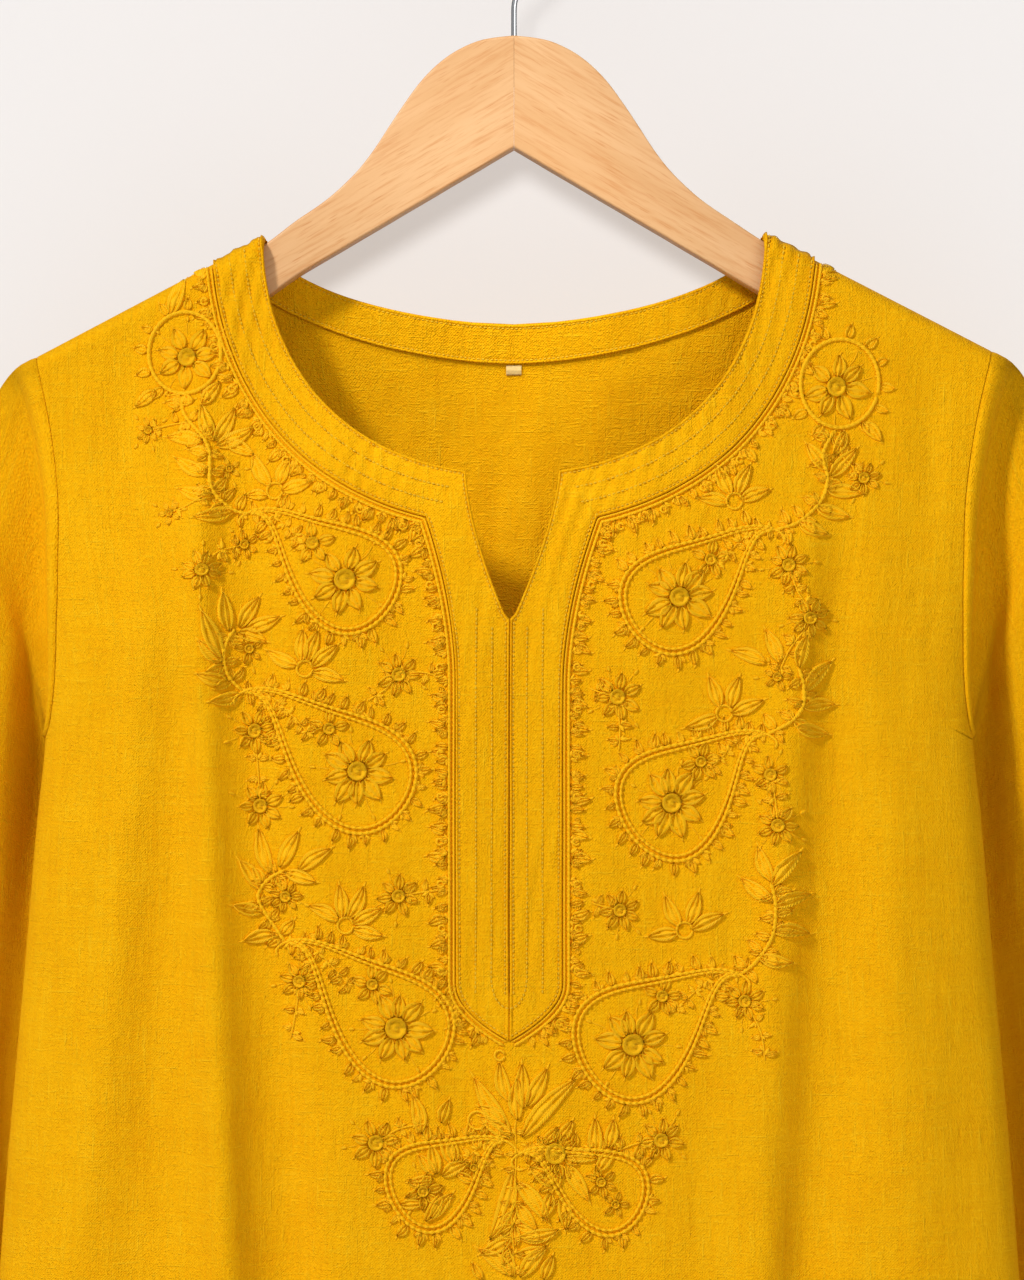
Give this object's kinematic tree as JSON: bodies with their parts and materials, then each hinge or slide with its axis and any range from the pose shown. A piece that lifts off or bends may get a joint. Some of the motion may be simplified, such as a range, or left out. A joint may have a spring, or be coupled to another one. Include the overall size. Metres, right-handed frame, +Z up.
{
  "type": "kurta tunic on a hanger",
  "caption": "Kurta tunic with notched round neck, pointed placket and open sleeves, hanging flat on a wooden clothes hanger with a wire hook.",
  "frame": {"origin": "inner top of the hook, where a rail carries it", "axes": "+Z up, -Y out of the front of the tunic, +X to the right-hand side seen from the front"},
  "size_m": [0.6446, 0.1471, 1.0394],
  "materials": {
    "cloth": "matte slubbed weave with tone-on-tone raised embroidery",
    "label": "plain woven tape, bare",
    "wood": "satin lacquered beech",
    "wire": "polished steel"
  },
  "bodies": {
    "root": {"front": "cloth", "back": "cloth", "sleeve_left": "cloth", "sleeve_right": "cloth", "neck_band_and_placket": "cloth", "back_neck_facing": "cloth", "label": "label", "hanger_arm_left": "wood", "hanger_arm_right": "wood", "hook": "wire"}
  },
  "joints": []
}
